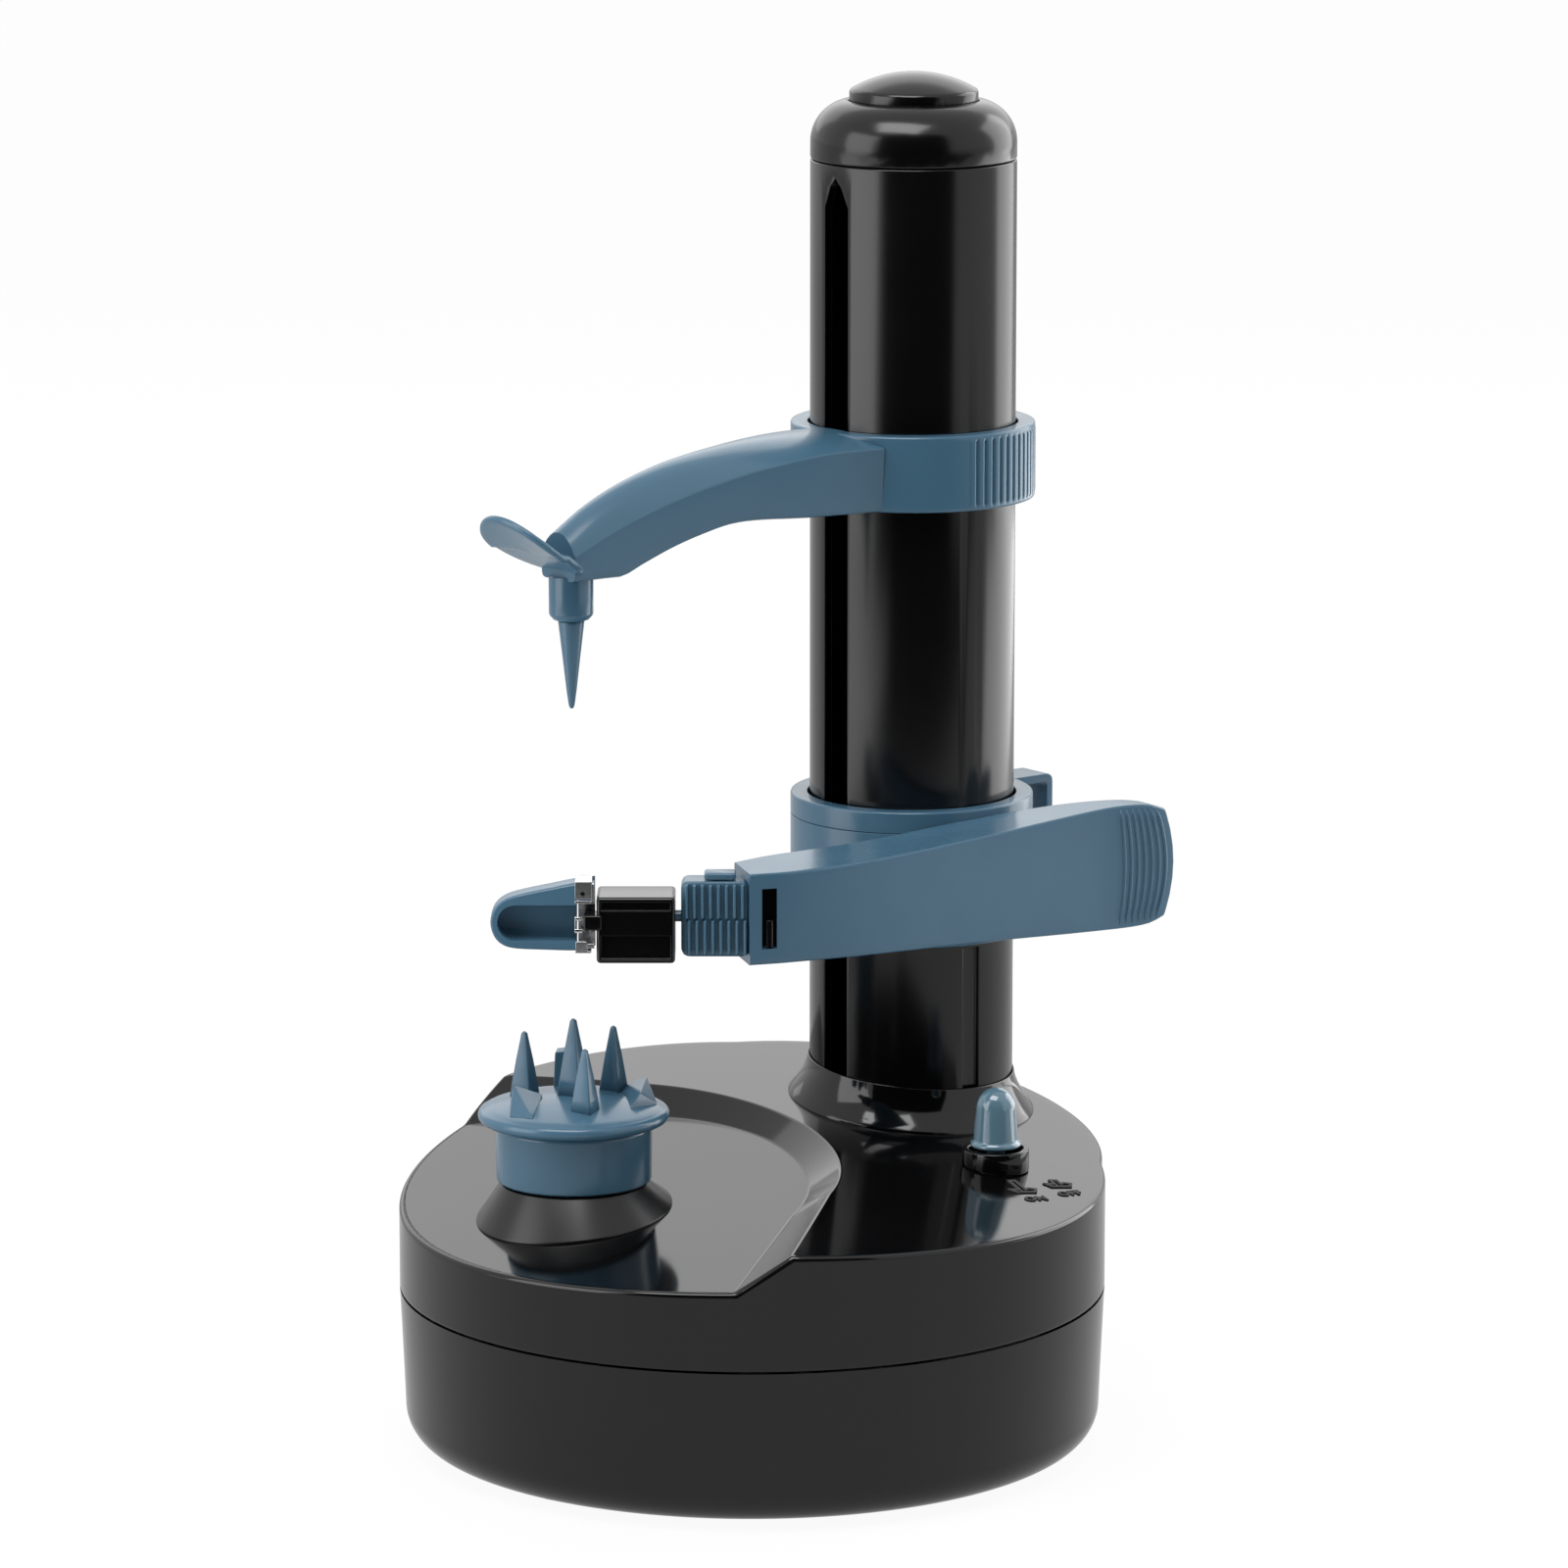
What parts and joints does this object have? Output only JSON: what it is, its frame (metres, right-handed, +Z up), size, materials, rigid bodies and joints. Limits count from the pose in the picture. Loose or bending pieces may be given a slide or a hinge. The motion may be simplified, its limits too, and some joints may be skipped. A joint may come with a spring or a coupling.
{
  "type": "electric potato peeler",
  "caption": "Battery potato peeler: round base with a spiked turntable, column with lead screw, sprung peeling lever on a travelling carriage, sliding top arm with spike.",
  "frame": {"origin": "centre of the round base, on the plane that the rubber feet stand on", "axes": "+Z up, -Y out of the front of the base, +X to the right seen from the front"},
  "size_m": [0.1664, 0.1522, 0.2882],
  "materials": {
    "black_gloss": "polished black moulding",
    "slate_blue": "satin metallic slate blue moulding",
    "clear_blue": "translucent light blue moulding",
    "blade_steel": "ground steel",
    "zinc_steel": "zinc plated steel",
    "brass_bush": "sintered bronze",
    "gear_plastic": "natural gear plastic",
    "chassis_plastic": "plain inner moulding",
    "foot_rubber": "matt rubber",
    "cell_jacket": "printed cell jacket",
    "contact_metal": "nickel plated spring steel"
  },
  "bodies": {
    "base": {"lower_shell": "black_gloss", "upper_shell": "black_gloss", "rubber_feet": "foot_rubber", "base_screws": "zinc_steel", "battery_door": "black_gloss", "battery_cells": "cell_jacket", "battery_contacts": "contact_metal", "gear_plate": "chassis_plastic", "plate_screws": "zinc_steel", "gear_axles": "zinc_steel", "motor_can": "zinc_steel", "spindle_bush": "brass_bush", "drip_cone": "black_gloss", "screw_bushes": "brass_bush", "column_tube": "black_gloss", "column_foot_ring": "black_gloss", "column_cap": "black_gloss", "cap_plug": "black_gloss", "button_socket": "black_gloss", "power_switch": "chassis_plastic"},
    "motor_rotor": {"motor_pinion": "gear_plastic"},
    "first_reduction": {"first_reduction_gear": "gear_plastic"},
    "second_reduction": {"second_reduction_gear": "gear_plastic"},
    "turntable": {"turntable_gear": "gear_plastic", "turntable_spindle": "zinc_steel", "holder_drum": "slate_blue", "spiked_disc": "slate_blue"},
    "left_idler": {"left_idler_gear": "gear_plastic"},
    "right_idler": {"right_idler_gear": "gear_plastic"},
    "screw": {"screw_gear": "gear_plastic", "lead_screw": "zinc_steel"},
    "carriage": {"carriage_sleeve": "slate_blue", "carriage_ring": "slate_blue", "drive_nut": "gear_plastic", "lever_spring": "zinc_steel"},
    "lever": {"peeling_lever": "slate_blue", "blade_grip": "slate_blue", "grip_latch": "slate_blue"},
    "blade_head": {"head_shaft": "slate_blue", "swivel_block": "black_gloss", "blade_guard": "slate_blue", "peeling_blade": "blade_steel"},
    "arm": {"top_collar": "slate_blue", "top_arm": "slate_blue", "thumb_pad": "slate_blue", "spike_socket": "slate_blue"},
    "arm_spike": {"top_spike": "slate_blue"},
    "button": {"power_button": "clear_blue"}
  },
  "joints": [
    {"name": "turntable_spin", "type": "hinge", "parent": "base", "child": "turntable", "pos_m": [-0.0373, -0.0204, 0.03], "axis": [0, 0, 1], "range_deg": [-1352, 5402]},
    {"name": "second_gear_spin", "type": "hinge", "parent": "base", "child": "second_reduction", "pos_m": [-0.03296, 0.00422, 0.03], "axis": [0, 0, 1], "range_deg": [-21601, 5401]},
    {"name": "first_gear_spin", "type": "hinge", "parent": "base", "child": "first_reduction", "pos_m": [-0.03514, 0.02913, 0.03], "axis": [0, 0, 1], "range_deg": [-21601, 86401]},
    {"name": "motor_spin", "type": "hinge", "parent": "base", "child": "motor_rotor", "pos_m": [-0.01349, 0.04163, 0.03], "axis": [0, 0, 1], "range_deg": [-345601, 86401]},
    {"name": "left_idler_spin", "type": "hinge", "parent": "base", "child": "left_idler", "pos_m": [-0.0067, -0.0034, 0.03], "axis": [0, 0, 1], "range_deg": [-7201, 1801]},
    {"name": "right_idler_spin", "type": "hinge", "parent": "base", "child": "right_idler", "pos_m": [0.0138, 0.0185, 0.03], "axis": [0, 0, 1], "range_deg": [-1801, 7201]},
    {"name": "screw_spin", "type": "hinge", "parent": "base", "child": "screw", "pos_m": [0.0343, 0.0404, 0.03], "axis": [0, 0, 1], "range_deg": [-7201, 1801]},
    {"name": "carriage_travel", "type": "slide", "parent": "base", "child": "carriage", "axis": [0, 0, 1], "range_m": [-0.015, 0.06]},
    {"name": "lever_swing", "type": "hinge", "parent": "carriage", "child": "lever", "pos_m": [0.0343, 0.0404, 0.1195], "axis": [0, 0, 1], "range_deg": [0, 28], "stiffness_Nm_per_rad": 0.2, "springref_deg": -28.65},
    {"name": "blade_swivel", "type": "hinge", "parent": "lever", "child": "blade_head", "pos_m": [-0.0162, -0.026, 0.1195], "axis": [1, 0, 0], "range_deg": [-20, 20]},
    {"name": "arm_slide", "type": "slide", "parent": "base", "child": "arm", "axis": [0, 0, 1], "range_m": [-0.03, 0.05]},
    {"name": "top_spike_spin", "type": "hinge", "parent": "arm", "child": "arm_spike", "pos_m": [-0.0373, -0.0204, 0.17], "axis": [0, 0, 1], "continuous": true},
    {"name": "power_button_travel", "type": "slide", "parent": "base", "child": "button", "axis": [0, 0, 1], "range_m": [-0.004, 0]}
  ],
  "couplings": [
    {"joint": "turntable_spin", "follows": "carriage_travel", "rad_per_m": 1570.8},
    {"joint": "second_gear_spin", "follows": "carriage_travel", "rad_per_m": -6283.2},
    {"joint": "first_gear_spin", "follows": "carriage_travel", "rad_per_m": 25133},
    {"joint": "motor_spin", "follows": "carriage_travel", "rad_per_m": -100530},
    {"joint": "left_idler_spin", "follows": "carriage_travel", "rad_per_m": -2094.4},
    {"joint": "right_idler_spin", "follows": "carriage_travel", "rad_per_m": 2094.4},
    {"joint": "screw_spin", "follows": "carriage_travel", "rad_per_m": -2094.4}
  ]
}
